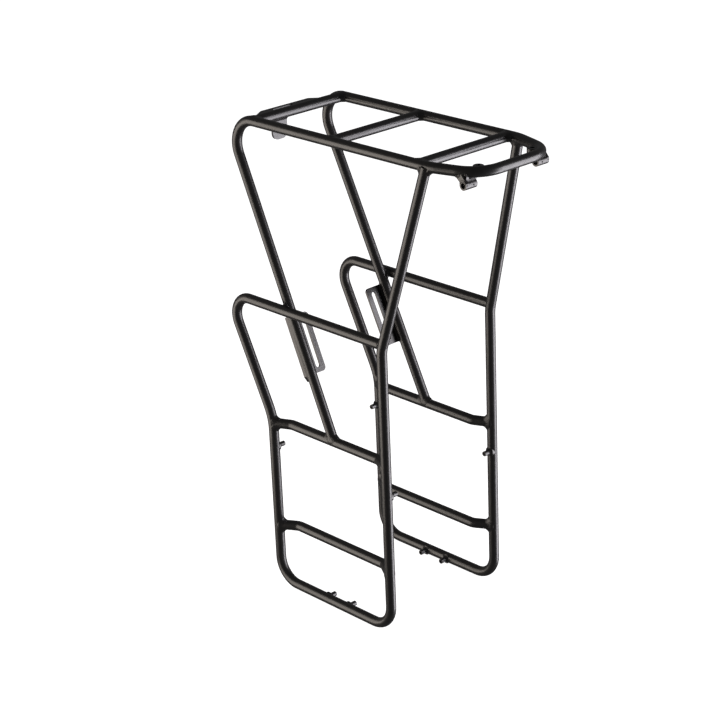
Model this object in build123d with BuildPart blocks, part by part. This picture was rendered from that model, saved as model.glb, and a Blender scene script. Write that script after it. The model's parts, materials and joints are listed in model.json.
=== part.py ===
"""Bicycle pannier rack: a bent-tube deck on two welded side hoops. Millimetres, +Z up.

+X runs forward along the deck and +Y is the rider's left. The origin is on the floor, under
the middle of the rack. All the frame tube is the same stock, and every joint is coped: the
tube that ends there is cut to the outside of the tube that runs through.
"""

import os

from build123d import *

# ---- driving dimensions -------------------------------------------------------------------

TUBE_R = 6.0                     # outside radius of all the frame tube
TUBE_WALL = 1.5
WELD_GAP = 0.05                  # fit-up gap left between two pieces that are welded
PLATE_T = 2.6                    # all the flat brackets
SLOT_W = 6.4                     # clears an M6 screw

DECK_Z = 565.5                   # centre line of the deck tubes
DECK_HALF = 69.0                 # centre line of a deck side rail, from the middle plane
DECK_REAR_X = -200.0             # where side rail and rear leg would meet without their bend
DECK_TAPER_X = 124.4             # the side rails start to close in here
DECK_FRONT_X = 183.0             # centre line of the deck's front end
DECK_FRONT_HALF = 52.1           # where the tapered rails would meet the front end
DECK_REAR_BEND = 30.0
DECK_TAPER_BEND = 65.0
DECK_FRONT_BEND = 35.6

HOOP_HALF = 85.4                 # plane of a side hoop, from the middle plane
FRONT_UPRIGHT_X = 61.5
REAR_UPRIGHT_X = -128.5
FRONT_LEG_TOP = (122.8, 70.4)    # X and Y of the front leg's end, under the deck rail
FRONT_LEG_Z = 349.0              # the front upright leans forward from here up
SLANT_Z = 215.0                  # the rear upright leans back from here up
PANNIER_Z = 356.2                # centre line of the pannier rail
PANNIER_REAR_X = -197.4          # where slant and pannier rail would meet
FRONT_LEG_BEND = 41.0
HOOP_FLOOR_BEND = 28.3
SLANT_BEND = 66.0
PANNIER_BEND = 24.0

UPPER_BAR_Z = 208.9
UPPER_BAR_HALF = 75.1            # the bars between the uprights stand inboard of the hoop
LOWER_BAR_Z = 76.5
LOWER_BAR_HALF = 72.5
BAR_JOG = 21.7                   # length along X in which a bar swings out to its upright
BAR_JOG_BEND = 14.0
REAR_LEG_FOOT_X = -35.1          # the rear leg lands on the upper bar here

DECK_CROSSBARS = {"rear": -153.0, "middle": -24.8, "front": 109.6}

LIGHT_PLATE_REACH = 22.7         # from the rear crossbar's centre to the plate's rear edge
LIGHT_PLATE_EDGE = (-38.5, 34.0) # Y of the rear edge's ends; the plate stands right of the middle
LIGHT_PLATE_BASE = (-74.0, 58.0) # Y of the sloping ends where they would pass the crossbar's centre
LIGHT_SLOT_AT = 14.6             # from the rear crossbar's centre to the slot
LIGHT_SLOT_Y = -10.5             # middle of the slot, which is right of the middle as well
LIGHT_SLOT_L = 31.0

TAB_Y = -31.0                    # one tab only, right of the middle
TAB_W = 22.0
TAB_BOTTOM_Z = 536.7
TAB_HOLE_Z = 548.0
TAB_CORNER = 8.0

BRACKET_TOP = 241.0              # distances down the rear leg from the deck corner
BRACKET_BOTTOM = 312.5
BRACKET_FRONT = 5.0              # front face of the flange, behind the leg's centre line
BRACKET_INNER_EDGE = 26.5        # inboard of the leg's centre line
BRACKET_CORNER = 5.0
BRACKET_SLOT_AT = 16.8
BRACKET_SLOT_L = 60.0
BRACKET_LIP_T = 2.5
BRACKET_LIP_RUNOUT = 6.5         # the lip tapers off over this length below the flange

POST_X, POST_HALF = 169.5, 40.8  # short upright bush in the bend at each front corner
POST_R = 6.0
POST_BORE_R = 2.75               # clears an M5 screw
POST_BOTTOM_Z, POST_TOP_Z = 560.0, 570.0

BARREL_X, BARREL_Z = 168.4, 552.3
BARREL_R = 5.0
BARREL_BORE_R = 3.2              # clears an M6 screw
BARREL_INNER, BARREL_OUTER = 46.4, 62.9
VENT_R = 1.0                     # drain hole through the barrel's front wall
VENT_HALF = 52.0
LUG_T = 3.0                      # cheek that joins the barrel's outer end to the deck rail
LUG_WEB_T = 4.5                  # rib that joins the barrel's length to the tube over it
LUG_SPREAD = 11.5                # how far the cheek reaches back from the barrel's centre
LUG_RISE = 11.0                  # and how far up
LUG_WEB_TIP = 43.8               # the rib leans inward from the barrel's end to here

BOSS_R = 3.0
BOSS_REACH = 8.5                 # how far a boss stands off its tube
BOSS_FOOT_R = 5.8                # flared foot at the tube
BOSS_FLARE = 4.0
BOSS_TAP_R = 1.65                # tapping drill for M4
BOSS_TAP_DEPTH = 8.0
BOSSES = {                       # X and Z of each boss on a side hoop
    "floor_rear": (-49.6, TUBE_R),
    "floor_front": (-15.1, TUBE_R),
    "rear_upright": (REAR_UPRIGHT_X, 178.0),
    "front_upright": (FRONT_UPRIGHT_X, 173.0),
}

parts = {}


def keep(name, part):
    """Name a finished piece."""
    part.label = name
    parts[name] = part


def keep_pair(name, right_part):
    """Name a piece of the right-hand side, and its mirror image on the left."""
    keep(f"right_{name}", right_part)
    keep(f"left_{name}", mirror(right_part, about=Plane.XZ))


def bent_line(points, bends):
    """Centre line through the points, with one bend radius for each inner point."""
    with BuildLine() as line:
        FilletPolyline(*points, radius=bends)
    return line.wire()


def straight_line(start, end):
    with BuildLine() as line:
        Line(start, end)
    return line.wire()


def swept_tube(line):
    """Tube along a centre line."""
    with BuildPart() as tube:
        with BuildSketch(Plane(origin=line @ 0, z_dir=line % 0)):
            Circle(TUBE_R)
            Circle(TUBE_R - TUBE_WALL, mode=Mode.SUBTRACT)
        sweep(path=line)
    return tube.part


def swept_space(line):
    """The space that the tube along a centre line keeps clear, its weld gap included."""
    with BuildPart() as space:
        with BuildSketch(Plane(origin=line @ 0, z_dir=line % 0)):
            Circle(TUBE_R + WELD_GAP)
        sweep(path=line)
    return space.part


# ---- centre lines, all of the right-hand side, where Y is negative ------------------------

rear_leg_foot = (REAR_LEG_FOOT_X, -UPPER_BAR_HALF, UPPER_BAR_Z)
rear_deck_corner = (DECK_REAR_X, -DECK_HALF, DECK_Z)
deck_right = [
    rear_leg_foot,
    rear_deck_corner,
    (DECK_TAPER_X, -DECK_HALF, DECK_Z),
    (DECK_FRONT_X, -DECK_FRONT_HALF, DECK_Z),
]
deck_left = [(x, -y, z) for x, y, z in reversed(deck_right)]
deck_bends = [DECK_REAR_BEND, DECK_TAPER_BEND, DECK_FRONT_BEND]
deck_line = bent_line(deck_right + deck_left, deck_bends + deck_bends[::-1])

rail_middle = ((PANNIER_REAR_X + FRONT_UPRIGHT_X) / 2, -HOOP_HALF, PANNIER_Z)
hoop_line = bent_line(
    [
        (FRONT_LEG_TOP[0], -FRONT_LEG_TOP[1], DECK_Z),
        (FRONT_UPRIGHT_X, -HOOP_HALF, FRONT_LEG_Z),
        (FRONT_UPRIGHT_X, -HOOP_HALF, TUBE_R),
        (REAR_UPRIGHT_X, -HOOP_HALF, TUBE_R),
        (REAR_UPRIGHT_X, -HOOP_HALF, SLANT_Z),
        (PANNIER_REAR_X, -HOOP_HALF, PANNIER_Z),
        rail_middle,
    ],
    [FRONT_LEG_BEND, HOOP_FLOOR_BEND, HOOP_FLOOR_BEND, SLANT_BEND, PANNIER_BEND],
)
rail_front_line = straight_line(rail_middle, (FRONT_UPRIGHT_X, -HOOP_HALF, PANNIER_Z))


def bar_line(half, z):
    """Bar between the two uprights, whose middle stands inboard of them."""
    return bent_line(
        [
            (REAR_UPRIGHT_X, -HOOP_HALF, z),
            (REAR_UPRIGHT_X + BAR_JOG, -half, z),
            (FRONT_UPRIGHT_X - BAR_JOG, -half, z),
            (FRONT_UPRIGHT_X, -HOOP_HALF, z),
        ],
        [BAR_JOG_BEND, BAR_JOG_BEND],
    )


upper_bar_line = bar_line(UPPER_BAR_HALF, UPPER_BAR_Z)
lower_bar_line = bar_line(LOWER_BAR_HALF, LOWER_BAR_Z)
crossbar_lines = {
    place: straight_line((x, -DECK_HALF, DECK_Z), (x, DECK_HALF, DECK_Z))
    for place, x in DECK_CROSSBARS.items()
}

# ---- the space that each through tube fills, for coping what ends against it --------------

deck_space = swept_space(deck_line)
hoop_space = swept_space(hoop_line)
upper_bar_space = swept_space(upper_bar_line)
rear_crossbar_space = swept_space(crossbar_lines["rear"])

# ---- deck: both rear legs, both side rails and the front end from one tube ----------------

with BuildPart() as deck_loop:
    add(swept_tube(deck_line))
    add(upper_bar_space, mode=Mode.SUBTRACT)
    add(mirror(upper_bar_space, about=Plane.XZ), mode=Mode.SUBTRACT)
keep("deck_loop_tube", deck_loop.part)

for place, line in crossbar_lines.items():
    with BuildPart() as crossbar:
        add(swept_tube(line))
        add(deck_space, mode=Mode.SUBTRACT)
    keep(f"{place}_deck_crossbar", crossbar.part)

# ---- side hoops: the pannier rail closes onto the hoop's own front upright ----------------

with BuildPart() as rail_front:
    add(swept_tube(rail_front_line))
    add(hoop_space, mode=Mode.SUBTRACT)

with BuildPart() as side_hoop:
    add(swept_tube(hoop_line))
    add(deck_space, mode=Mode.SUBTRACT)
    add(rail_front.part)
keep_pair("side_hoop", side_hoop.part)

for name, line in (("upper_bar", upper_bar_line), ("lower_bar", lower_bar_line)):
    with BuildPart() as bar:
        add(swept_tube(line))
        add(hoop_space, mode=Mode.SUBTRACT)
    keep_pair(name, bar.part)

# ---- slotted plate behind the rear crossbar, for a lamp or reflector ----------------------

rear_x = DECK_CROSSBARS["rear"]
plate_edge_x = rear_x - LIGHT_PLATE_REACH
with BuildPart() as light_plate:
    with BuildSketch(Plane.XY.offset(DECK_Z - PLATE_T / 2)):
        with BuildLine():
            Polyline(
                (rear_x, LIGHT_PLATE_BASE[0]),
                (plate_edge_x, LIGHT_PLATE_EDGE[0]),
                (plate_edge_x, LIGHT_PLATE_EDGE[1]),
                (rear_x, LIGHT_PLATE_BASE[1]),
                close=True,
            )
        make_face()
        with Locations(Location((rear_x - LIGHT_SLOT_AT, LIGHT_SLOT_Y), 90)):
            SlotOverall(LIGHT_SLOT_L, SLOT_W, mode=Mode.SUBTRACT)
    extrude(amount=PLATE_T)
    outer_corners = light_plate.edges().filter_by(Axis.Z).group_by(Axis.X)[0]
    fillet(outer_corners, radius=2.0)
    add(rear_crossbar_space, mode=Mode.SUBTRACT)
    add(deck_space, mode=Mode.SUBTRACT)
keep("rear_light_plate", light_plate.part)

# ---- tab that hangs under the rear crossbar -----------------------------------------------

with BuildPart() as tab:
    with BuildSketch(Plane.YZ.offset(rear_x - PLATE_T / 2)) as tab_outline:
        with Locations((TAB_Y, TAB_BOTTOM_Z)):
            Rectangle(TAB_W, DECK_Z - TAB_BOTTOM_Z, align=(Align.CENTER, Align.MIN))
        fillet(tab_outline.vertices().group_by(Axis.Y)[0], radius=TAB_CORNER)
        with Locations((TAB_Y, TAB_HOLE_Z)):
            Circle(SLOT_W / 2, mode=Mode.SUBTRACT)
    extrude(amount=PLATE_T)
    add(rear_crossbar_space, mode=Mode.SUBTRACT)
keep("rear_hanging_tab", tab.part)

# ---- slotted bracket on each rear leg -----------------------------------------------------
# In this plane X runs inboard, Y runs down the leg, and Z points back and down, off the leg.

down_leg = (Vector(*rear_leg_foot) - Vector(*rear_deck_corner)).normalized()
off_leg = Vector(0, 1, 0).cross(down_leg).normalized()
leg_plane = Plane(rear_deck_corner, x_dir=down_leg.cross(off_leg), z_dir=off_leg)
flange_back = BRACKET_FRONT + PLATE_T

with BuildPart() as leg_bracket:
    with BuildSketch(leg_plane.offset(BRACKET_FRONT)):
        with BuildLine():
            Polyline(
                (-TUBE_R, BRACKET_TOP),
                (BRACKET_INNER_EDGE, BRACKET_TOP),
                (BRACKET_INNER_EDGE, BRACKET_BOTTOM),
                (-TUBE_R, BRACKET_BOTTOM),
                close=True,
            )
        make_face()
        with Locations(Location((BRACKET_SLOT_AT, (BRACKET_TOP + BRACKET_BOTTOM) / 2), 90)):
            SlotOverall(BRACKET_SLOT_L, SLOT_W, mode=Mode.SUBTRACT)
    extrude(amount=PLATE_T)
    corner_edges = leg_bracket.edges().filter_by(Axis(leg_plane.origin, off_leg))
    fillet(corner_edges.sort_by(Axis.Y)[-2:], radius=BRACKET_CORNER)
    with BuildSketch(leg_plane):
        with BuildLine():
            Polyline(
                (-TUBE_R, BRACKET_TOP),
                (-TUBE_R + BRACKET_LIP_T, BRACKET_TOP),
                (-TUBE_R + BRACKET_LIP_T, BRACKET_BOTTOM + BRACKET_LIP_RUNOUT),
                (-TUBE_R, BRACKET_BOTTOM),
                close=True,
            )
        make_face()
    extrude(amount=flange_back)
    add(deck_space, mode=Mode.SUBTRACT)
keep_pair("leg_bracket", leg_bracket.part)

# ---- front corners of the deck: bush, screw barrel and its lug ----------------------------

barrel_plane = Plane((BARREL_X, -BARREL_OUTER, BARREL_Z), x_dir=(1, 0, 0), z_dir=(0, -1, 0))
barrel_length = BARREL_OUTER - BARREL_INNER

with BuildPart() as barrel_space:
    with BuildSketch(barrel_plane):
        Circle(BARREL_R + WELD_GAP)
    extrude(amount=-barrel_length)

with BuildPart() as barrel:
    with BuildSketch(barrel_plane):
        Circle(BARREL_R)
        Circle(BARREL_BORE_R, mode=Mode.SUBTRACT)
    extrude(amount=-barrel_length)
    with BuildSketch(Plane((BARREL_X, -VENT_HALF, BARREL_Z), z_dir=(1, 0, 0))):
        Circle(VENT_R)
    extrude(amount=BARREL_R + 1, mode=Mode.SUBTRACT)
keep_pair("front_barrel", barrel.part)

with BuildPart() as post_space:
    with BuildSketch(Plane.XY.offset(POST_BOTTOM_Z - WELD_GAP)):
        with Locations((POST_X, -POST_HALF)):
            Circle(POST_R + WELD_GAP)
    extrude(amount=POST_TOP_Z - POST_BOTTOM_Z + WELD_GAP)

with BuildPart() as post:
    with BuildSketch(Plane.XY.offset(POST_BOTTOM_Z)):
        with Locations((POST_X, -POST_HALF)):
            Circle(POST_R)
            Circle(POST_BORE_R, mode=Mode.SUBTRACT)
    extrude(amount=POST_TOP_Z - POST_BOTTOM_Z)
    fillet(post.edges().group_by(Axis.Z)[-1].sort_by(SortBy.RADIUS)[-1], radius=1.0)
    add(deck_space, mode=Mode.SUBTRACT)
keep_pair("front_post", post.part)

web_side = Plane((BARREL_X + LUG_WEB_T / 2, 0, 0), x_dir=(0, 1, 0), z_dir=(1, 0, 0))
with BuildPart() as lug:
    with BuildSketch(barrel_plane):
        with BuildLine():
            Polyline(
                (-BARREL_R, 0),
                (-BARREL_R, 0.3 * LUG_RISE),
                (-LUG_SPREAD, 0.8 * LUG_RISE),
                (-LUG_SPREAD, LUG_RISE),
                (-0.2 * LUG_SPREAD, LUG_RISE),
                (BARREL_R, 0.25 * LUG_RISE),
                (BARREL_R, 0),
                close=True,
            )
        make_face()
    extrude(amount=-LUG_T)
    with BuildSketch(web_side):
        with BuildLine():
            Polyline(
                (LUG_T - BARREL_OUTER, BARREL_Z),
                (-BARREL_INNER, BARREL_Z),
                (-LUG_WEB_TIP, POST_BOTTOM_Z),
                (-LUG_WEB_TIP, DECK_Z),
                (LUG_T - BARREL_OUTER, DECK_Z),
                close=True,
            )
        make_face()
    extrude(amount=-LUG_WEB_T)
    add(deck_space, mode=Mode.SUBTRACT)
    add(barrel_space.part, mode=Mode.SUBTRACT)
    add(post_space.part, mode=Mode.SUBTRACT)
keep_pair("barrel_lug", lug.part)

# ---- screw bosses, on the inner side of each hoop -----------------------------------------

boss_tip = TUBE_R + BOSS_REACH
for place, (x, z) in BOSSES.items():
    with BuildPart() as boss:
        with BuildSketch(Plane((x, -HOOP_HALF, z), x_dir=(1, 0, 0), z_dir=(0, 0, 1))):
            with BuildLine():
                foot = Line((0, 0), (BOSS_FOOT_R, 0))
                Line(foot @ 1, (BOSS_FOOT_R, TUBE_R - 1))
                flare = Spline(
                    (BOSS_FOOT_R, TUBE_R - 1),
                    (BOSS_R, TUBE_R + BOSS_FLARE),
                    tangents=((-1, 0.6), (0, 1)),
                )
                Polyline(flare @ 1, (BOSS_R, boss_tip), (0, boss_tip), foot @ 0)
            make_face()
        revolve(axis=Axis((x, -HOOP_HALF, z), (0, 1, 0)))
        chamfer(boss.edges().group_by(Axis.Y)[-1], length=0.4)
        boss_end = Plane((x, boss_tip - HOOP_HALF, z), z_dir=(0, 1, 0))
        with BuildSketch(boss_end):
            Circle(BOSS_TAP_R)
        extrude(amount=-BOSS_TAP_DEPTH, mode=Mode.SUBTRACT)
        add(hoop_space, mode=Mode.SUBTRACT)
    keep_pair(f"{place}_boss", boss.part)

# ---- one STEP file for each piece ---------------------------------------------------------

os.makedirs("parts", exist_ok=True)
for name, part in parts.items():
    export_step(part, f"parts/{name}.step")
    print(f"{name}: {len(part.solids())} solid, {part.volume:.0f} mm3")
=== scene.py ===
"""Powder-coated bicycle pannier rack: coat, weld beads and boss threads, in a pale studio."""

import json
import math

import bmesh
import bpy
from bpy.props import FloatProperty, FloatVectorProperty, PointerProperty
from mathutils import Matrix, Vector, noise
from mathutils.bvhtree import BVHTree


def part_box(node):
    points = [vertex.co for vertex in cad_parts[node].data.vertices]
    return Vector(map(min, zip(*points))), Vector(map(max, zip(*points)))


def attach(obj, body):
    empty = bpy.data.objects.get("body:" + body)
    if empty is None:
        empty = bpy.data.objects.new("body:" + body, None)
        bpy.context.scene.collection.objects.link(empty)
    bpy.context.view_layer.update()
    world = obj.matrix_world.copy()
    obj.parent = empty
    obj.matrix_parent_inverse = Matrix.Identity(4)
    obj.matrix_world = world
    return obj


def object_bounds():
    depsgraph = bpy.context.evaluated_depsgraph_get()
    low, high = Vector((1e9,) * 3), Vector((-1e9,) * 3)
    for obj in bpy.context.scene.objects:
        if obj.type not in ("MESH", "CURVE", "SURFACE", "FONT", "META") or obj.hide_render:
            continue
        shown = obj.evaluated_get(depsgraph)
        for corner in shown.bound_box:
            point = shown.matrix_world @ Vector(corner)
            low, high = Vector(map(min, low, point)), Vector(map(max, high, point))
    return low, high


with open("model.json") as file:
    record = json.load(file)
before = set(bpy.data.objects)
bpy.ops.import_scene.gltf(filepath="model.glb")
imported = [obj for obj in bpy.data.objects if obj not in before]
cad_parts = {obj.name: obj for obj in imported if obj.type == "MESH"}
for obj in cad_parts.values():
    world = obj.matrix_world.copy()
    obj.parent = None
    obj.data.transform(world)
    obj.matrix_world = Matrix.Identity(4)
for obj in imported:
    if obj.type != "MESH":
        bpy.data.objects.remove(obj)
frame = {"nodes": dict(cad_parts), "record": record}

bl_info = {
    "name": "Pannier Rack Looks",
    "version": (1, 0, 0),
    "blender": (4, 5, 0),
    "location": "View3D > Sidebar > Rack",
    "description": "Powder coat, weld beads, boss threads and a studio for a tubular bicycle rack",
    "category": "Object",
}

CAD_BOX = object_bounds()
SIDES = ("right", "left")
MM = 0.001

# A cope stands at most this far off the tube that it is cut to, facets included.
COPE_REACH = 0.5 * MM

# Shorter seams are stray facet edges: one length for tubes, one for brackets and lugs.
SHORTEST_TUBE_SEAM = 30 * MM
SHORTEST_BRACKET_SEAM = 7 * MM

# A bead's face has this many points from toe to toe, and its toes lie under the surfaces.
FACE_POINTS = 9
TOE_DEPTH = 0.10 * MM

# A bead keeps the first share of its leg where its two surfaces run flush, and the second at
# an open end.
FLUSH_SHARE = 0.62
TIP_SHARE = 0.25

# Noise rows this far apart have nothing in common, so each bead's size wanders by itself.
SEED_SPACING = 7.3

# The weld round two crossing tubes reaches this many legs out from where they touch.
CROSSING_REACH = 1.8

# The coat's slow changes, and the distance from one speck to the next.
DRIFT_WIDTH = 35 * MM
CLOUD_WIDTH = 6 * MM
SPECK_SPACING = 0.9 * MM

# A softbox's azimuth and elevation in degrees and its distance, all from the rack's middle, its
# width and height, and its power in watts.
KEY_SOFTBOX = {"azimuth": 44, "elevation": -10, "distance": 1.7, "size": (1.0, 2.1), "power": 50.0}
FILL_SOFTBOX = {"azimuth": -125, "elevation": -3, "distance": 1.7, "size": (1.6, 1.6), "power": 26.0}
WORLD_STRENGTH = 0.10
WHITE = (1.0, 1.0, 1.0, 1.0)

# The camera aims a little to the rider's right of the rack's middle and above it.
AIM_OFFSET = Vector((0.0, -0.0615, 0.0293))


# ---- settings -----------------------------------------------------------------------------


class CoatSettings(bpy.types.PropertyGroup):
    """The satin powder coat that covers the whole rack."""

    colour: FloatVectorProperty(
        name="Colour",
        description="Main colour of the coat",
        subtype="COLOR",
        default=(0.012, 0.0112, 0.0118),
        min=0.0,
        max=1.0,
    )
    thin_colour: FloatVectorProperty(
        name="Thin colour",
        description="Colour where the coat lies thinner, a touch warmer and paler",
        subtype="COLOR",
        default=(0.022, 0.0195, 0.019),
        min=0.0,
        max=1.0,
    )
    roughness: FloatProperty(
        name="Roughness",
        description="Roughness of the satin coat",
        subtype="FACTOR",
        default=0.33,
        min=0.0,
        max=1.0,
    )
    peel_width: FloatProperty(
        name="Orange peel width",
        description="Width of one dimple of the orange peel",
        subtype="DISTANCE",
        unit="LENGTH",
        default=1.3 * MM,
    )
    peel_depth: FloatProperty(
        name="Orange peel depth",
        description="Depth of the orange peel",
        subtype="DISTANCE",
        unit="LENGTH",
        default=0.035 * MM,
    )
    grain_width: FloatProperty(
        name="Grain width",
        description="Width of the coat's fine powder grain",
        subtype="DISTANCE",
        unit="LENGTH",
        default=0.28 * MM,
    )


class WeldSettings(bpy.types.PropertyGroup):
    """The fillet welds that join the pieces."""

    tube_leg: FloatProperty(
        name="Tube weld leg",
        description="How far a weld reaches up each tube from the corner between them",
        subtype="DISTANCE",
        unit="LENGTH",
        default=4.3 * MM,
    )
    plate_leg: FloatProperty(
        name="Bracket weld leg",
        description="How far a weld reaches onto a bracket",
        subtype="DISTANCE",
        unit="LENGTH",
        default=2.2 * MM,
    )
    crown: FloatProperty(
        name="Crown",
        description="How far the weld bulges where its two tubes run flush, as a share of its leg",
        subtype="FACTOR",
        default=0.34,
        min=0.0,
        max=0.6,
    )
    hollow: FloatProperty(
        name="Hollow",
        description="How far the weld's face dips below a flat fillet, as a share of its leg",
        subtype="FACTOR",
        default=0.16,
        min=0.0,
        max=0.4,
    )
    ripple_height: FloatProperty(
        name="Ripple height",
        description="Height of the weld's ripples, as a share of its leg",
        subtype="FACTOR",
        default=0.035,
        min=0.0,
        max=0.2,
    )
    ripple_pitch: FloatProperty(
        name="Ripple pitch",
        description="Distance from one ripple of the bead to the next",
        subtype="DISTANCE",
        unit="LENGTH",
        default=1.7 * MM,
    )
    step: FloatProperty(
        name="Step",
        description="Distance between two cross-sections of a bead's mesh",
        subtype="DISTANCE",
        unit="LENGTH",
        default=0.4 * MM,
    )


class ThreadSettings(bpy.types.PropertyGroup):
    """The coarse M4 thread in each screw boss."""

    pitch: FloatProperty(
        name="Pitch",
        description="Distance from one turn of the thread to the next",
        subtype="DISTANCE",
        unit="LENGTH",
        default=0.7 * MM,
    )
    height: FloatProperty(
        name="Ridge height",
        description="How far the ridge stands into the bore",
        subtype="DISTANCE",
        unit="LENGTH",
        default=0.25 * MM,
    )


class StudioSettings(bpy.types.PropertyGroup):
    """Floor, lights and camera."""

    floor_colour: FloatVectorProperty(
        name="Floor",
        description="Colour of the floor's paint, under its own glow",
        subtype="COLOR",
        default=(0.90, 0.90, 0.90),
        min=0.0,
        max=1.0,
    )
    key_colour: FloatVectorProperty(
        name="Key softbox",
        description="Colour of the tall softbox off the rack's front left",
        subtype="COLOR",
        default=(0.98, 0.95, 1.0),
        min=0.0,
        max=1.0,
    )
    fill_colour: FloatVectorProperty(
        name="Fill softbox",
        description="Colour of the warm softbox off the rack's rear right",
        subtype="COLOR",
        default=(1.0, 0.91, 0.82),
        min=0.0,
        max=1.0,
    )
    azimuth: FloatProperty(
        name="Azimuth",
        description="Camera's angle round the rack, from its right-hand side",
        subtype="ANGLE",
        default=math.radians(47.60),
    )
    elevation: FloatProperty(
        name="Elevation",
        description="Camera's angle above the floor",
        subtype="ANGLE",
        default=math.radians(21.95),
    )
    roll: FloatProperty(
        name="Roll",
        description="Camera's tilt about its own axis",
        subtype="ANGLE",
        default=math.radians(-2.37),
    )
    distance: FloatProperty(
        name="Distance",
        description="From the camera to the point that it aims at",
        subtype="DISTANCE",
        unit="LENGTH",
        default=2.3785,
    )
    lens: FloatProperty(
        name="Focal length",
        description="For a 36 mm wide sensor, in millimetres",
        default=106.3,
    )


# ---- shader helpers -----------------------------------------------------------------------


class Wire:
    """An output socket; arithmetic on it adds Math nodes to its material."""

    def __init__(self, recipe, socket):
        self.recipe = recipe
        self.socket = socket

    def math(self, operation, first, second):
        return self.recipe.node("ShaderNodeMath", {"operation": operation}, {0: first, 1: second})

    def __add__(self, other):
        return self.math("ADD", self, other)

    __radd__ = __add__

    def __sub__(self, other):
        return self.math("SUBTRACT", self, other)

    def __rsub__(self, other):
        return self.math("SUBTRACT", other, self)

    def __mul__(self, other):
        return self.math("MULTIPLY", self, other)

    __rmul__ = __mul__


class Recipe:
    """Builds one material's node tree."""

    def __init__(self, name):
        self.material = bpy.data.materials.new(name)
        self.material.use_nodes = True
        self.tree = self.material.node_tree
        self.tree.nodes.clear()

    def node(self, kind, settings=None, sockets=None, output=0):
        """Adds a node: its settings first, then a value or a link for each named socket."""
        made = self.tree.nodes.new(kind)
        for name, value in (settings or {}).items():
            setattr(made, name, value)
        for key, value in (sockets or {}).items():
            if isinstance(value, Wire):
                self.tree.links.new(value.socket, made.inputs[key])
            else:
                made.inputs[key].default_value = value
        return Wire(self, made.outputs[output]) if made.outputs else None

    def mix_colour(self, factor, first, second):
        """Mixes two colours; inputs 6 and 7 and output 2 are the node's colour sockets."""
        settings = {"data_type": "RGBA", "clamp_factor": True}
        return self.node("ShaderNodeMix", settings, {0: factor, 6: first, 7: second}, output=2)

    def noise(self, where, width, detail=2.0, roughness=0.5):
        """Noise whose blotches are about as wide as the width."""
        sockets = {"Vector": where, "Scale": 1.0 / width, "Detail": detail, "Roughness": roughness}
        return self.node("ShaderNodeTexNoise", {}, sockets)

    def finish(self, shader):
        """Leads the shader to the surface and returns the material."""
        self.node("ShaderNodeOutputMaterial", {}, {"Surface": shader})
        return self.material


def rgba(colour):
    return (*colour, 1.0)


def powder_coat(settings, name, extra_roughness=0.0):
    """Satin black powder coat: orange peel, fine grain, and a slow drift in gloss and thickness."""
    recipe = Recipe(name)
    where = recipe.node("ShaderNodeTexCoord", output="Object")
    drift = recipe.noise(where, DRIFT_WIDTH, detail=3.0)
    cloud = recipe.noise(where, CLOUD_WIDTH, detail=2.0)
    peel = recipe.noise(where, settings.peel_width, detail=1.0, roughness=0.4)
    grain = recipe.noise(where, settings.grain_width, detail=2.0, roughness=0.6)
    speck_field = {"Vector": where, "Scale": 1.0 / SPECK_SPACING}
    to_speck = recipe.node("ShaderNodeTexVoronoi", {"feature": "F1"}, speck_field)
    thin = (cloud - 0.35) * 1.1 + (grain - 0.5) * 0.5
    colour = recipe.mix_colour(thin, rgba(settings.colour), rgba(settings.thin_colour))
    # Specks are paler dots, with a radius of a fifth of their spacing.
    speck_radius = 0.20
    speck_strength = 1.4
    speck_paleness = 2.2
    speck = (speck_radius - to_speck) * speck_strength
    speck_colour = rgba([speck_paleness * part for part in settings.thin_colour])
    colour = recipe.mix_colour(speck, colour, speck_colour)
    # Each noise swings about a half, so that the mean roughness stays as set.
    even_roughness = settings.roughness + extra_roughness
    slow_change = (drift - 0.5) * 0.10 + (cloud - 0.5) * 0.06
    roughness = even_roughness + slow_change + (grain - 0.5) * 0.10
    peel_share = 0.72
    height = peel * peel_share + grain * (1.0 - peel_share)
    relief = {"Height": height, "Strength": 1.0, "Distance": settings.peel_depth}
    bump = recipe.node("ShaderNodeBump", {}, relief)
    shader = recipe.node(
        "ShaderNodeBsdfPrincipled",
        {},
        {
            "Base Color": colour,
            "Roughness": roughness,
            "IOR": 1.52,
            "Coat Weight": 0.12,
            "Coat Roughness": 0.22,
            "Normal": bump,
        },
    )
    return recipe.finish(shader)


def coat_material(name="powder_coat"):
    return bpy.data.materials[name]


# ---- mesh helpers -------------------------------------------------------------------------


def add_piece(name, mesh_builder, material):
    """Turns a bmesh into a smooth-shaded piece that rides on the rack."""
    bmesh.ops.recalc_face_normals(mesh_builder, faces=mesh_builder.faces)
    mesh = bpy.data.meshes.new(name)
    mesh_builder.to_mesh(mesh)
    mesh_builder.free()
    for polygon in mesh.polygons:
        polygon.use_smooth = True
    piece = bpy.data.objects.new(name, mesh)
    bpy.context.scene.collection.objects.link(piece)
    piece.data.materials.append(material)
    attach(piece, "root")
    return piece


def welded_copy(node):
    """The node's mesh with its split corners joined again, so that its edges can be followed."""
    copy = bmesh.new()
    copy.from_mesh(frame["nodes"][node].data)
    bmesh.ops.remove_doubles(copy, verts=copy.verts, dist=0.002 * MM)
    copy.normal_update()
    return copy


def faces_cut_to(piece, through_tree):
    """Faces that look straight at the through piece from close by, so that they were cut to it."""
    clearance = 0.001 * MM
    least_facing = 0.6
    cut = set()
    for face in piece.faces:
        start = face.calc_center_median() + face.normal * clearance
        place, normal, _, _ = through_tree.ray_cast(start, face.normal, COPE_REACH)
        if place is not None and -normal.dot(face.normal) > least_facing:
            cut.add(face)
    return cut


def looks_into_bore(piece_tree, place, outward):
    """True where a surface has another wall of its own piece close in front, as in a bore."""
    clearance = 0.05 * MM
    widest_bore = 12 * MM
    start = place + outward * clearance
    return piece_tree.ray_cast(start, outward, widest_bore)[0] is not None


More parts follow.
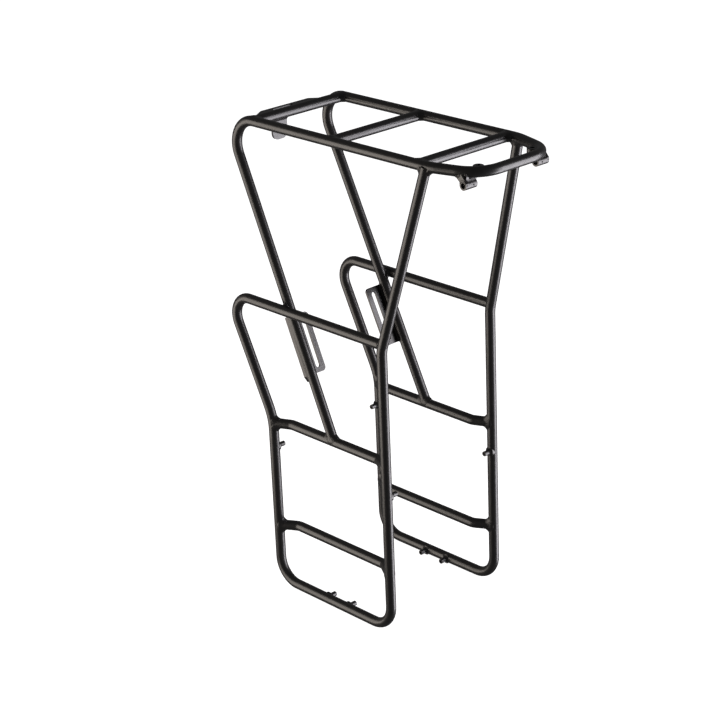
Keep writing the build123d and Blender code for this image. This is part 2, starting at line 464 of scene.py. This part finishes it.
def chains_of(edges):
    """Joins edges into chains of vertices; the flag is True for a chain that closes on itself."""
    left = dict.fromkeys(edges)
    chains = []
    while left:
        edge = next(iter(left))
        del left[edge]
        chain = [edge.verts[0], edge.verts[1]]
        for end in (1, 0):
            while True:
                tip = chain[-1] if end else chain[0]
                following = [e for e in tip.link_edges if e in left]
                if not following:
                    break
                del left[following[0]]
                other = following[0].other_vert(tip)
                if end:
                    chain.append(other)
                else:
                    chain.insert(0, other)
        closed = chain[0] is chain[-1]
        chains.append((chain[:-1] if closed else chain, closed))
    return chains


def resampled(points, values, closed, step):
    """Points and their vectors at even steps along the chain, and the chain's length."""
    fewest = 12
    shortest = 1e-9
    count = len(points)
    pairs = [(i, (i + 1) % count) for i in range(count if closed else count - 1)]
    lengths = [(points[b] - points[a]).length for a, b in pairs]
    total = sum(lengths)
    samples = max(fewest, round(total / step))
    out_points = []
    out_values = []
    segment = 0
    passed = 0.0
    for k in range(samples):
        target = total * k / (samples if closed else samples - 1)
        while segment < len(pairs) - 1 and passed + lengths[segment] < target:
            passed += lengths[segment]
            segment += 1
        a, b = pairs[segment]
        share = min(1.0, (target - passed) / max(lengths[segment], shortest))
        out_points.append(points[a].lerp(points[b], share))
        out_values.append([u.lerp(v, share) for u, v in zip(values[a], values[b])])
    return out_points, out_values, total


def smoothed(vectors, closed, rounds):
    """Averages each vector with its neighbours; an open chain keeps its ends."""
    count = len(vectors)
    for _ in range(rounds):
        after = []
        for i, vector in enumerate(vectors):
            if closed or 0 < i < count - 1:
                around = vectors[(i - 1) % count] + vectors[(i + 1) % count]
                after.append(vector * 0.5 + around * 0.25)
            else:
                after.append(vector.copy())
        vectors = after
    return vectors


def bridged(points, values, piece_tree):
    """Closes the small gap between the two ends of a seam round a tube.

    The seam's ends, where it turns onto the tube's end face, are dropped. New points run over
    the tube's outside in their place, where a ray cast down from above finds it. A seam that
    also turns in its middle goes round a plate's edges, and closes as it is.
    """
    steps = 8
    sharp = 0.9
    ray_height = 4 * MM
    ray_length = 6 * MM
    edge_clearance = 0.3 * MM
    third = len(points) // 3
    turns = [i for i in range(1, len(points)) if values[i][0].dot(values[i - 1][0]) < sharp]
    if any(third <= i <= 2 * third for i in turns):
        return points, values
    start = max((i + 1 for i in turns if i < third), default=0)
    stop = min((i - 1 for i in turns if i > 2 * third), default=len(points))
    points = points[start:stop]
    values = values[start:stop]
    last, first = values[-1], values[0]
    tail, head = points[-1], points[0]
    for k in range(1, steps):
        share = k / steps
        normal = last[0].lerp(first[0], share).normalized()
        off = last[1].lerp(first[1], share).normalized()
        outside = tail.lerp(head, share) + normal * ray_height + off * edge_clearance
        place = piece_tree.ray_cast(outside, -normal, ray_length)[0]
        if place is not None:
            points.append(place)
            values.append([normal, off])
    return points, values


def seam_chains(node, through, least):
    """Chains along which the outside of a node meets the piece that it was cut to.

    Each chain has its points, and whether it closes on itself. Each point has two vectors: the
    node's outward normal, and the way along its surface that leads off the through piece. The
    search trees of the node and of the through piece come with the chains.
    """
    bore_test_height = 7 * MM
    widest_gap = 5 * MM
    gap_share = 0.15
    piece = welded_copy(node)
    piece_tree = BVHTree.FromBMesh(piece)
    through_tree = piece_tree if through == node else BVHTree.FromBMesh(welded_copy(through))
    cut = faces_cut_to(piece, through_tree)
    about = {}
    seam = []
    for edge in piece.edges:
        inner = [f for f in edge.link_faces if f in cut]
        outer = [f for f in edge.link_faces if f not in cut]
        if len(inner) != 1 or len(outer) != 1:
            continue
        middle = (edge.verts[0].co + edge.verts[1].co) / 2
        along = (edge.verts[1].co - edge.verts[0].co).normalized()
        off = along.cross(outer[0].normal)
        if off.dot(outer[0].calc_center_median() - middle) < 0:
            off = -off
        # The test for a bore stands off the seam, clear of the cope itself.
        if looks_into_bore(piece_tree, middle + off * bore_test_height, outer[0].normal):
            continue
        seam.append(edge)
        for vertex in edge.verts:
            about.setdefault(vertex, []).append((outer[0].normal.copy(), off))
    chains = []
    for vertices, closed in chains_of(seam):
        points = [v.co.copy() for v in vertices]
        values = []
        for vertex in vertices:
            normals, offs = zip(*about[vertex])
            values.append([sum(normals, Vector()).normalized(), sum(offs, Vector()).normalized()])
        length = sum((b - a).length for a, b in zip(points, points[1:]))
        if length < least:
            continue
        gap = (points[-1] - points[0]).length
        if not closed and gap < min(gap_share * length, widest_gap):
            closed = True
            points, values = bridged(points, values, piece_tree)
        chains.append((points, values, closed))
    return chains, piece_tree, through_tree


def join_rings(builder, rings, closed):
    """Skins a row of rings; an open row gets a face over each end."""
    count = len(rings)
    around = len(rings[0])
    for i in range(count if closed else count - 1):
        one = rings[i]
        two = rings[(i + 1) % count]
        for k in range(around):
            builder.faces.new((one[k], one[(k + 1) % around], two[(k + 1) % around], two[k]))
    if not closed:
        builder.faces.new(rings[0])
        builder.faces.new(rings[-1])


def hump_at(across):
    """How a bead's face rises over its width: 0 at both toes and 1 in the middle."""
    return 4.0 * across * (1.0 - across)


def bead_on(builder, chain, trees, leg, weld, seed):
    """One weld bead along a chain, with ripples; it closes on itself or tapers to its ends."""
    wander_length = 5 * MM
    wander_share = 0.10
    ripple_sweep = 0.30
    root_depth = 0.5
    side_to_root = 0.6
    points, values, closed = chain
    piece_tree, through_tree = trees
    points, values, total = resampled(points, values, closed, weld.step)
    points = smoothed(points, closed, rounds=3)
    normals = [v.normalized() for v in smoothed([v[0] for v in values], closed, rounds=6)]
    offs = smoothed([v[1] for v in values], closed, rounds=6)
    floors = [through_tree.find_nearest(point)[1] for point in points]
    floors = [v.normalized() for v in smoothed(floors, closed, rounds=8)]
    count = len(points)
    ripples = max(1, round(total / weld.ripple_pitch))
    rings = []
    for i, point in enumerate(points):
        share = i / count
        before = points[i - 1] if closed or i else point
        after = points[(i + 1) % count] if closed or i < count - 1 else point
        along = (after - before).normalized()
        outward = normals[i]
        floor = floors[i]
        up_piece = along.cross(outward).normalized()
        turn = 1.0 if up_piece.dot(offs[i]) > 0 else -1.0
        up_piece *= turn
        over_floor = along.cross(floor).normalized() * -turn
        # The corner is 1 where the two surfaces meet squarely and 0 where they run flush.
        corner = math.sqrt(max(0.0, 1.0 - outward.dot(floor) ** 2))
        wander = noise.noise(Vector((share * total / wander_length, seed * SEED_SPACING, 0.0)))
        fullness = FLUSH_SHARE + (1.0 - FLUSH_SHARE) * corner
        size = leg * fullness * (1.0 + wander_share * wander)
        if not closed:
            to_end = min(i, count - 1 - i) * total / count
            size *= TIP_SHARE + (1.0 - TIP_SHARE) * math.sqrt(min(1.0, to_end / leg))
        middle = (outward + floor).normalized()
        toe_a, toe_a_normal, _, _ = piece_tree.find_nearest(point + up_piece * size)
        toe_b, toe_b_normal, _, _ = through_tree.find_nearest(point + over_floor * size)
        toe_a = toe_a - toe_a_normal * TOE_DEPTH
        toe_b = toe_b - toe_b_normal * TOE_DEPTH
        bulge = weld.crown * (1.0 - corner) - weld.hollow * corner
        ring = []
        for k in range(FACE_POINTS):
            across = k / (FACE_POINTS - 1)
            hump = hump_at(across)
            phase = ripples * share - ripple_sweep * hump
            ripple = 0.5 + 0.5 * math.cos(2.0 * math.pi * phase)
            lift = size * hump * (weld.ripple_height * ripple + bulge)
            ring.append(toe_a.lerp(toe_b, across) + middle * lift)
        root = point - middle * root_depth * size
        ring.append(toe_b.lerp(root, side_to_root))
        ring.append(root)
        ring.append(toe_a.lerp(root, side_to_root))
        rings.append([builder.verts.new(place) for place in ring])
    join_rings(builder, rings, closed)


def weld_piece(name, node, through, leg, least, seed):
    """All the beads along which one node meets another, as one piece; short seams are left out."""
    weld = bpy.context.scene.rack_weld
    chains, *trees = seam_chains(node, through, least)
    builder = bmesh.new()
    for number, chain in enumerate(chains):
        bead_on(builder, chain, trees, leg, weld, seed + number)
    if not builder.faces:
        builder.free()
        raise RuntimeError(f"{node} has no seam on {through}")
    return add_piece(name, builder, coat_material("powder_coat_weld"))


def nearest_pair(tree_a, tree_b, start, rounds=80):
    """The closest points of two surfaces near a start point, by going to and fro between them."""
    on_a = start
    for _ in range(rounds):
        on_b = tree_b.find_nearest(on_a)[0]
        on_a = tree_a.find_nearest(on_b)[0]
    return on_a, on_b


def crossing_weld(name, node, other, start, reach, seed):
    """A ring of weld metal between two tubes that pass each other a hair apart."""
    count = 96
    ripples = 20
    wander_scale = 2.5
    wander_share = 0.06
    root_share = 0.5
    weld = bpy.context.scene.rack_weld
    trees = [BVHTree.FromBMesh(welded_copy(n)) for n in (node, other)]
    on_node, on_other = nearest_pair(*trees, start)
    centre = (on_node + on_other) / 2
    axis = (on_other - on_node).normalized()
    across = axis.orthogonal().normalized()
    builder = bmesh.new()
    rings = []
    for i in range(count):
        angle = 2.0 * math.pi * i / count
        outward = Matrix.Rotation(angle, 3, axis) @ across
        wander = noise.noise(outward * wander_scale + Vector((0.0, 0.0, seed * SEED_SPACING)))
        size = reach * (1.0 + wander_share * wander)
        toes = [tree.find_nearest(centre + outward * size)[0] for tree in trees]
        ripple = 0.5 + 0.5 * math.cos(ripples * angle)
        bulge = weld.ripple_height * ripple - weld.hollow
        ring = []
        for k in range(FACE_POINTS):
            share = k / (FACE_POINTS - 1)
            lift = size * hump_at(share) * bulge - TOE_DEPTH
            ring.append(toes[0].lerp(toes[1], share) + outward * lift)
        ring.append(centre + outward * root_share * size)
        rings.append([builder.verts.new(place) for place in ring])
    join_rings(builder, rings, closed=True)
    return add_piece(name, builder, coat_material("powder_coat_weld"))


def crossing_start(side):
    """A point beside the place where the rear leg crosses the pannier rail, over its bracket."""
    low, high = (Vector(corner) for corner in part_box(f"{side}_leg_bracket"))
    outermost = math.copysign(max(abs(low.y), abs(high.y)), low.y)
    return Vector(((low.x + high.x) / 2, outermost, high.z))


def boss_thread(name, mount):
    """The thread's ridge, wound down the bore of one boss."""
    steps = 24
    first_turn = 0.8
    half_width = 0.42
    foot_depth = 0.05 * MM
    thread = bpy.context.scene.rack_thread
    mouth = Vector(mount["pos_m"])
    into = -Vector(mount["axis"]).normalized()
    bore = mount["dims"]["r_mm"] * MM
    length = mount["dims"]["length_mm"] * MM - 2.0 * thread.pitch
    across = into.orthogonal().normalized()
    count = round(length / thread.pitch * steps)
    builder = bmesh.new()
    rings = []
    for i in range(count + 1):
        out = Matrix.Rotation(2.0 * math.pi * i / steps, 3, into) @ across
        middle = mouth + into * thread.pitch * (first_turn + i / steps)
        foot = bore + foot_depth
        grown = min(1.0, i / steps, (count - i) / steps)
        crest = bore - thread.height * grown
        half = into * thread.pitch * half_width
        ring = [middle + out * foot - half, middle + out * crest, middle + out * foot + half]
        rings.append([builder.verts.new(place) for place in ring])
    join_rings(builder, rings, closed=False)
    return add_piece(name, builder, coat_material())


# ---- operators ----------------------------------------------------------------------------


class RACK_OT_powder_coat(bpy.types.Operator):
    """Cover every CAD node with the satin powder coat."""

    bl_idname = "rack.powder_coat"
    bl_label = "Powder coat"

    def execute(self, context):
        coat = powder_coat(context.scene.rack_coat, "powder_coat")
        powder_coat(context.scene.rack_coat, "powder_coat_weld", extra_roughness=0.05)
        for node in frame["nodes"].values():
            for place in node.material_slots:
                place.material = coat
        return {"FINISHED"}


class RACK_OT_tube_welds(bpy.types.Operator):
    """Weld every coped tube end to the tube that runs through."""

    bl_idname = "rack.tube_welds"
    bl_label = "Tube welds"

    def execute(self, context):
        leg = context.scene.rack_weld.tube_leg
        least = SHORTEST_TUBE_SEAM
        deck = "deck_loop_tube"
        for number, place in enumerate(("rear", "middle", "front")):
            node = f"{place}_deck_crossbar"
            weld_piece(f"{node}_welds", node, deck, leg, least, seed=number)
        for number, side in enumerate(SIDES):
            hoop = f"{side}_side_hoop"
            seed = 10 * (number + 1)
            for level in ("upper", "lower"):
                bar = f"{side}_{level}_bar"
                weld_piece(f"{bar}_welds", bar, hoop, leg, least, seed=seed)
            foot_bar = f"{side}_upper_bar"
            weld_piece(f"{side}_rear_leg_weld", deck, foot_bar, leg, least, seed=seed + 3)
            weld_piece(f"{side}_front_leg_weld", hoop, deck, leg, least, seed=seed + 4)
            weld_piece(f"{side}_pannier_rail_weld", hoop, hoop, leg, least, seed=seed + 5)
            name = f"{side}_leg_crossing_weld"
            start = crossing_start(side)
            crossing_weld(name, deck, hoop, start, CROSSING_REACH * leg, seed=seed + 6)
        return {"FINISHED"}


class RACK_OT_bracket_welds(bpy.types.Operator):
    """Weld the flat brackets to their tubes."""

    bl_idname = "rack.bracket_welds"
    bl_label = "Bracket welds"

    def execute(self, context):
        leg = context.scene.rack_weld.plate_leg
        least = SHORTEST_BRACKET_SEAM
        for number, node in enumerate(("rear_light_plate", "rear_hanging_tab")):
            weld_piece(f"{node}_welds", node, "rear_deck_crossbar", leg, least, seed=40 + number)
        for number, side in enumerate(SIDES):
            node = f"{side}_leg_bracket"
            weld_piece(f"{node}_welds", node, "deck_loop_tube", leg, least, seed=50 + number)
        return {"FINISHED"}


class RACK_OT_corner_welds(bpy.types.Operator):
    """Weld the posts, lugs and barrels at the deck's front corners."""

    bl_idname = "rack.corner_welds"
    bl_label = "Corner welds"

    def execute(self, context):
        leg = context.scene.rack_weld.plate_leg
        least = SHORTEST_BRACKET_SEAM
        for number, side in enumerate(SIDES):
            seed = 60 + 10 * number
            post = f"{side}_front_post"
            lug = f"{side}_barrel_lug"
            barrel = f"{side}_front_barrel"
            weld_piece(f"{post}_weld", post, "deck_loop_tube", leg, least, seed=seed)
            weld_piece(f"{lug}_deck_weld", lug, "deck_loop_tube", leg, least, seed=seed + 1)
            weld_piece(f"{lug}_barrel_weld", lug, barrel, leg, least, seed=seed + 2)
        return {"FINISHED"}


class RACK_OT_boss_threads(bpy.types.Operator):
    """Wind a thread into each screw boss."""

    bl_idname = "rack.boss_threads"
    bl_label = "Boss threads"

    def execute(self, context):
        for mount in frame["record"]["mounts"]:
            if mount["name"].endswith("_thread"):
                boss_thread(mount["name"], mount)
        return {"FINISHED"}


class RACK_OT_studio(bpy.types.Operator):
    """Pale floor, soft lights and the camera."""

    bl_idname = "rack.studio"
    bl_label = "Studio"

    def execute(self, context):
        scene = context.scene
        studio = scene.rack_studio
        low, high = (Vector(corner) for corner in CAD_BOX)
        centre = (low + high) / 2
        self.add_floor(scene, studio, low.z)
        self.add_light(scene, centre, "key_softbox", KEY_SOFTBOX, studio.key_colour)
        self.add_light(scene, centre, "fill_softbox", FILL_SOFTBOX, studio.fill_colour)
        self.add_world(scene)
        self.add_camera(scene, studio, centre)
        scene.view_settings.view_transform = "Standard"
        return {"FINISHED"}

    def add_floor(self, scene, studio, height):
        """A glowing white floor that only the camera sees."""
        half_width = 12.0
        mottle_width = 0.4
        mottle_shade = 0.985
        builder = bmesh.new()
        bmesh.ops.create_grid(builder, x_segments=8, y_segments=8, size=half_width)
        mesh = bpy.data.meshes.new("floor")
        builder.to_mesh(mesh)
        builder.free()
        floor = bpy.data.objects.new("floor", mesh)
        floor.location.z = height
        scene.collection.objects.link(floor)
        recipe = Recipe("floor_paint")
        where = recipe.node("ShaderNodeTexCoord", output="Object")
        mottle = recipe.noise(where, mottle_width, detail=3.0)
        darker = rgba([mottle_shade * part for part in studio.floor_colour])
        colour = recipe.mix_colour(mottle, darker, rgba(studio.floor_colour))
        shader = recipe.node(
            "ShaderNodeBsdfPrincipled",
            {},
            {
                "Base Color": colour,
                "Roughness": 0.9,
                "Specular IOR Level": 0.1,
                "Emission Color": WHITE,
                "Emission Strength": 1.0,
            },
        )
        floor.data.materials.append(recipe.finish(shader))
        # The softboxes reach below the floor's level, so the floor neither blocks nor adds light.
        floor.visible_diffuse = False
        floor.visible_glossy = False
        floor.visible_shadow = False

    def add_light(self, scene, centre, name, softbox, colour):
        """A softbox that faces the rack's middle and that the camera can't see."""
        azimuth = math.radians(softbox["azimuth"])
        elevation = math.radians(softbox["elevation"])
        level = math.cos(elevation)
        away = Vector((level * math.cos(azimuth), level * math.sin(azimuth), math.sin(elevation)))
        data = bpy.data.lights.new(name, "AREA")
        data.shape = "RECTANGLE"
        data.size, data.size_y = softbox["size"]
        data.energy = softbox["power"]
        data.color = colour
        light = bpy.data.objects.new(name, data)
        light.location = centre + away * softbox["distance"]
        light.rotation_euler = (-away).to_track_quat("-Z", "Y").to_euler()
        light.visible_camera = False
        scene.collection.objects.link(light)

    def add_world(self, scene):
        """Dim, even light from all round."""
        world = bpy.data.worlds.new("studio")
        world.use_nodes = True
        background = world.node_tree.nodes["Background"]
        background.inputs["Color"].default_value = WHITE
        background.inputs["Strength"].default_value = WORLD_STRENGTH
        scene.world = world

    def add_camera(self, scene, studio, centre):
        """The camera, at its angles round the aimed point and rolled about its own axis."""
        data = bpy.data.cameras.new("camera")
        data.sensor_width = 36.0
        data.lens = studio.lens
        data.clip_end = 50.0
        camera = bpy.data.objects.new("camera", data)
        aim = centre + AIM_OFFSET
        level = math.cos(studio.elevation)
        forward_part = math.sin(studio.azimuth) * level
        left_part = -math.cos(studio.azimuth) * level
        back = Vector((forward_part, left_part, math.sin(studio.elevation)))
        turn = (-back).to_track_quat("-Z", "Y").to_matrix().to_4x4()
        tilt = Matrix.Rotation(studio.roll, 4, "Z")
        camera.matrix_world = Matrix.Translation(aim + back * studio.distance) @ turn @ tilt
        scene.collection.objects.link(camera)
        scene.camera = camera


class RACK_PT_panel(bpy.types.Panel):
    """Lists the steps that dress the rack."""

    bl_idname = "RACK_PT_panel"
    bl_label = "Pannier rack"
    bl_space_type = "VIEW_3D"
    bl_region_type = "UI"
    bl_category = "Rack"

    def draw(self, context):
        for step in STEPS:
            self.layout.operator(step.bl_idname)
        for group in SETTINGS:
            box = self.layout.box()
            settings = getattr(context.scene, group)
            for name in settings.__annotations__:
                box.prop(settings, name)


STEPS = (
    RACK_OT_powder_coat,
    RACK_OT_tube_welds,
    RACK_OT_bracket_welds,
    RACK_OT_corner_welds,
    RACK_OT_boss_threads,
    RACK_OT_studio,
)
SETTINGS = {
    "rack_coat": CoatSettings,
    "rack_weld": WeldSettings,
    "rack_thread": ThreadSettings,
    "rack_studio": StudioSettings,
}


def register():
    for kind in (*SETTINGS.values(), *STEPS, RACK_PT_panel):
        bpy.utils.register_class(kind)
    for name, kind in SETTINGS.items():
        setattr(bpy.types.Scene, name, PointerProperty(type=kind))


def unregister():
    for name in SETTINGS:
        delattr(bpy.types.Scene, name)
    for kind in (RACK_PT_panel, *reversed(STEPS), *SETTINGS.values()):
        bpy.utils.unregister_class(kind)


def main():
    register()
    bpy.ops.rack.powder_coat()
    bpy.ops.rack.tube_welds()
    bpy.ops.rack.bracket_welds()
    bpy.ops.rack.corner_welds()
    bpy.ops.rack.boss_threads()
    bpy.ops.rack.studio()


if __name__ == "__main__":
    main()
